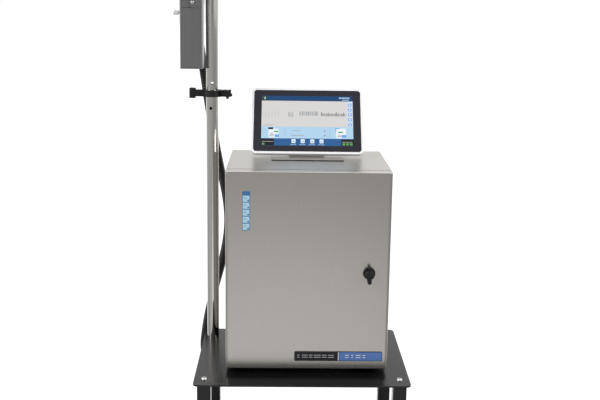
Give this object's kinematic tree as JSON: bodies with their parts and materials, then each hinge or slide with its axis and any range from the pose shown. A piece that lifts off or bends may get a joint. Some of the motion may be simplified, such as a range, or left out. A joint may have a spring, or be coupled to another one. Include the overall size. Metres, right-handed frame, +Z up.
{
  "type": "date code inkjet printer",
  "caption": "Stand-mounted date coder: steel cabinet with hinged door and tilting touch panel on a legged table, mast-carried print head fed by an umbilical hose.",
  "frame": {"origin": "middle of the footprint box, on the floor", "axes": "+X to the operator's right, +Y to the back, +Z up"},
  "size_m": [0.599, 0.4676, 1.605],
  "materials": {
    "table_black": "satin black powder coat",
    "foot_black": "black moulded foot with steel stud",
    "fastener_steel": "stainless fasteners",
    "mast_steel": "polished stainless tube",
    "black_plastic": "black glass-filled plastic",
    "carriage_alloy": "bead-blasted alloy",
    "head_steel": "brushed stainless sheet",
    "filter_dark": "knurled dark block",
    "hose_black": "spiral-wrapped umbilical",
    "cabinet_steel": "vertically brushed stainless sheet",
    "gasket_black": "foam seal, rubber feet and pad",
    "zinc": "zinc-plated steel",
    "strip_blue": "printed membrane strip",
    "badge_black": "doming badge",
    "supply_alloy": "folded alloy case",
    "board_green": "circuit board",
    "bottle_white": "blow-moulded bottle",
    "cap_blue": "ribbed cap",
    "wire_chrome": "plated wire and pin",
    "rocker_red": "rocker switch",
    "panel_white": "white moulded rim",
    "panel_glass_black": "black printed glass",
    "display": "lit display"
  },
  "bodies": {
    "root": {"back_rail": "table_black", "body_hinges": "zinc", "bracket_pad_sheet": "gasket_black", "cabinet_body": "cabinet_steel", "cabinet_elbow": "black_plastic", "cabinet_feet": "gasket_black", "controller_board": "board_green", "fan_frame": "black_plastic", "fan_guard": "wire_chrome", "foot_nuts": "fastener_steel", "ink_bottle": "bottle_white", "ink_pump": "black_plastic", "leg_back_left": "table_black", "leg_back_right": "table_black", "leg_front_left": "table_black", "leg_front_right": "table_black", "mains_inlet": "black_plastic", "mast_bolt": "fastener_steel", "mast_cap": "black_plastic", "mast_tube": "mast_steel", "mounting_plate": "zinc", "panel_bracket": "cabinet_steel", "plate_bolts": "fastener_steel", "power_supply": "supply_alloy", "side_rails": "table_black", "table_plate": "table_black", "tilt_pin": "wire_chrome", "umbilical_hose": "hose_black"},
    "carriage": {"carriage_block": "carriage_alloy", "head_bracket": "head_steel", "bracket_bolts": "fastener_steel", "head_channel": "head_steel", "head_front_panel": "head_steel", "head_filter": "filter_dark", "print_module": "carriage_alloy", "head_umbilical_box": "head_steel", "head_gland": "black_plastic"},
    "carriage_lever": {"carriage_lever": "black_plastic"},
    "thumbscrew": {"head_thumbscrew": "fastener_steel"},
    "collar": {"collar_front": "black_plastic", "collar_back": "black_plastic"},
    "collar_knob": {"collar_knob": "black_plastic"},
    "door": {"door": "cabinet_steel", "door_gasket": "gasket_black", "door_hinges": "zinc", "lock_body": "black_plastic", "status_strip": "strip_blue", "badge": "badge_black"},
    "lock": {"lock_knob": "black_plastic", "lock_cam": "zinc"},
    "fan": {"fan_rotor": "black_plastic"},
    "ink_cap": {"ink_cap": "cap_blue"},
    "rocker": {"rocker_switch": "rocker_red"},
    "touch_panel": {"panel_shell": "panel_white", "panel_glass": "panel_glass_black", "panel_display": "display"},
    "foot_front_left": {"foot_front_left": "foot_black"},
    "foot_front_right": {"foot_front_right": "foot_black"},
    "foot_back_left": {"foot_back_left": "foot_black"},
    "foot_back_right": {"foot_back_right": "foot_black"}
  },
  "joints": [
    {"name": "door_swing", "type": "hinge", "parent": "root", "child": "door", "pos_m": [-0.1445, -0.131, 0.613], "axis": [0, 0, -1], "range_deg": [0, 110]},
    {"name": "lock_turn", "type": "hinge", "parent": "door", "child": "lock", "pos_m": [0.1965, -0.143, 0.86], "axis": [0, -1, 0], "range_deg": [0, 90]},
    {"name": "panel_tilt", "type": "hinge", "parent": "root", "child": "touch_panel", "pos_m": [0.0475, 0.13815, 1.16604], "axis": [-1, 0, 0], "range_deg": [0, 30]},
    {"name": "carriage_slide", "type": "slide", "parent": "root", "child": "carriage", "axis": [0, 0, 1], "range_m": [-0.04, 0.025], "deforming": ["umbilical_hose"]},
    {"name": "lever_turn", "type": "hinge", "parent": "carriage", "child": "carriage_lever", "pos_m": [-0.177, 0.07, 1.545], "axis": [0, -1, 0], "range_deg": [-60, 30]},
    {"name": "thumbscrew_turn", "type": "hinge", "parent": "carriage", "child": "thumbscrew", "pos_m": [-0.281, 0.094, 1.476], "axis": [1, 0, 0], "continuous": true},
    {"name": "collar_slide", "type": "slide", "parent": "root", "child": "collar", "axis": [0, 0, 1], "range_m": [-0.12, 0.04]},
    {"name": "collar_knob_turn", "type": "hinge", "parent": "collar", "child": "collar_knob", "pos_m": [-0.1605, 0.1, 1.269], "axis": [0, 1, 0], "continuous": true},
    {"name": "fan_spin", "type": "hinge", "parent": "root", "child": "fan", "pos_m": [0.1855, 0.147, 1.018], "axis": [0, 1, 0], "continuous": true},
    {"name": "ink_cap_turn", "type": "hinge", "parent": "root", "child": "ink_cap", "pos_m": [-0.0625, 0.007, 0.771], "axis": [0, 0, 1], "continuous": true},
    {"name": "rocker_tip", "type": "hinge", "parent": "root", "child": "rocker", "pos_m": [0.1975, 0.165, 0.707], "axis": [1, 0, 0], "range_deg": [0, 18]},
    {"name": "foot_front_left_screw", "type": "slide", "parent": "root", "child": "foot_front_left", "axis": [0, 0, -1], "range_m": [0, 0.02]},
    {"name": "foot_front_right_screw", "type": "slide", "parent": "root", "child": "foot_front_right", "axis": [0, 0, -1], "range_m": [0, 0.02]},
    {"name": "foot_back_left_screw", "type": "slide", "parent": "root", "child": "foot_back_left", "axis": [0, 0, -1], "range_m": [0, 0.02]},
    {"name": "foot_back_right_screw", "type": "slide", "parent": "root", "child": "foot_back_right", "axis": [0, 0, -1], "range_m": [0, 0.02]}
  ]
}
